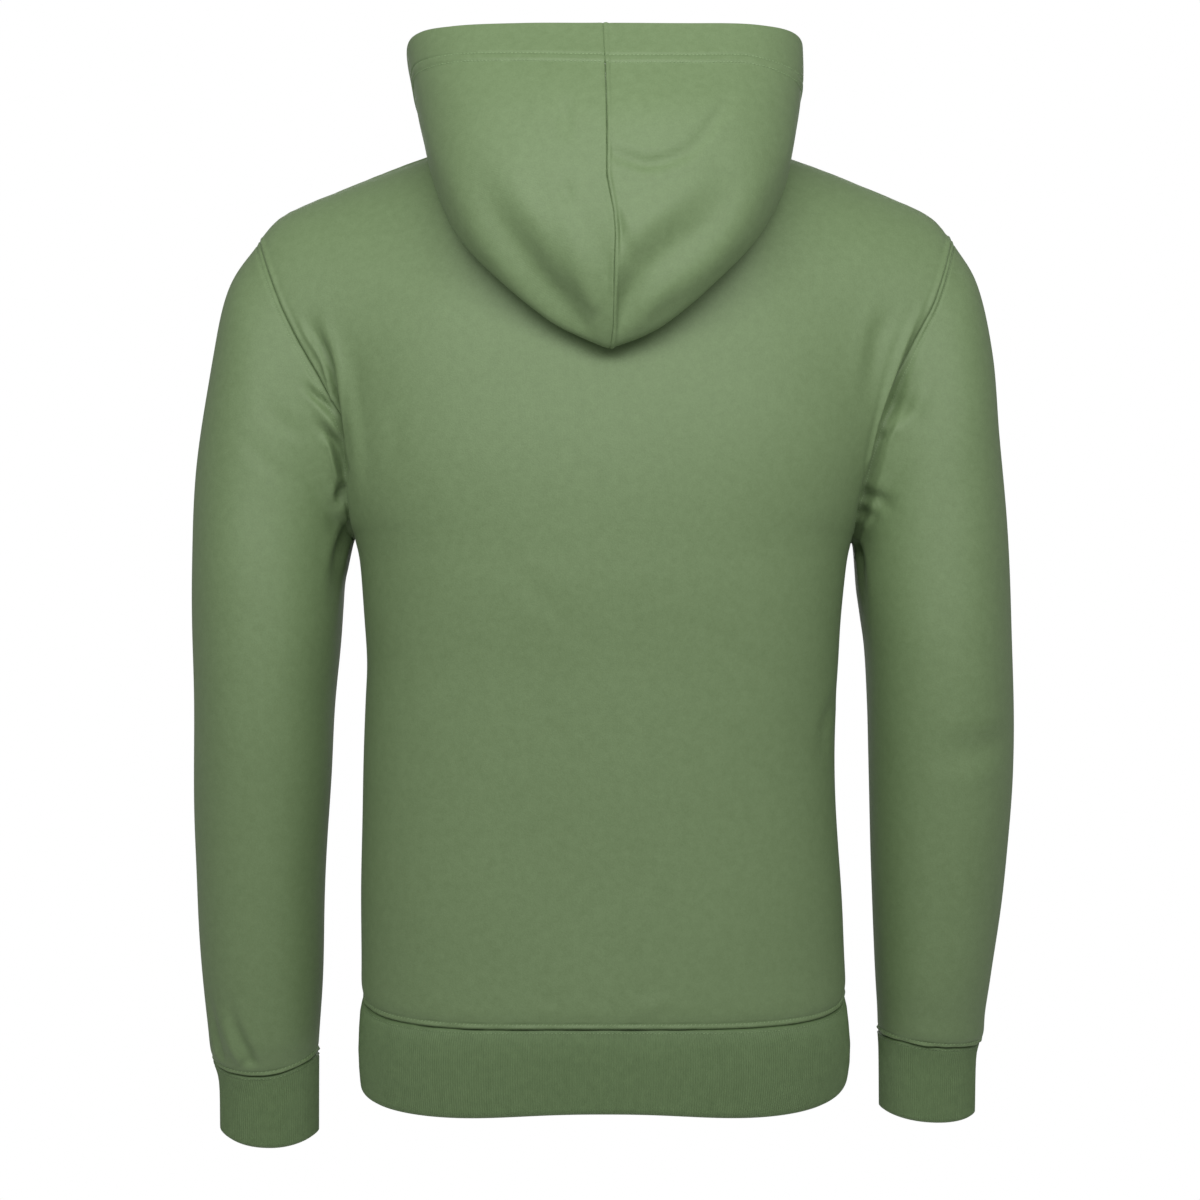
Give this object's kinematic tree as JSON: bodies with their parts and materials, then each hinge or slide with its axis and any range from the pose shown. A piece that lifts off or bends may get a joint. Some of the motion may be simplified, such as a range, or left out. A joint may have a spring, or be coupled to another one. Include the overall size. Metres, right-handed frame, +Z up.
{
  "type": "pullover hoodie",
  "caption": "Pullover hoodie filled out as worn: hollow body, set-in sleeves, hood lying on the back, rib cuffs and rib hem band.",
  "frame": {"origin": "in the middle of the neck opening, in the plane of the arms and level with the shoulders' neck ends, where the wearer's neck and shoulders hold the garment", "axes": "+Z up, front towards +Y, the wearer's right towards +X"},
  "size_m": [0.5883, 0.277, 0.7889],
  "materials": {
    "fleece": "matt brushed cotton fleece",
    "rib": "matt fine rib knit"
  },
  "bodies": {
    "root": {"back_panel": "fleece", "front_panel": "fleece", "sleeve_left": "fleece", "sleeve_right": "fleece", "hood_left": "fleece", "hood_right": "fleece", "cuff_left": "rib", "cuff_right": "rib", "hem_band": "rib"}
  },
  "joints": []
}
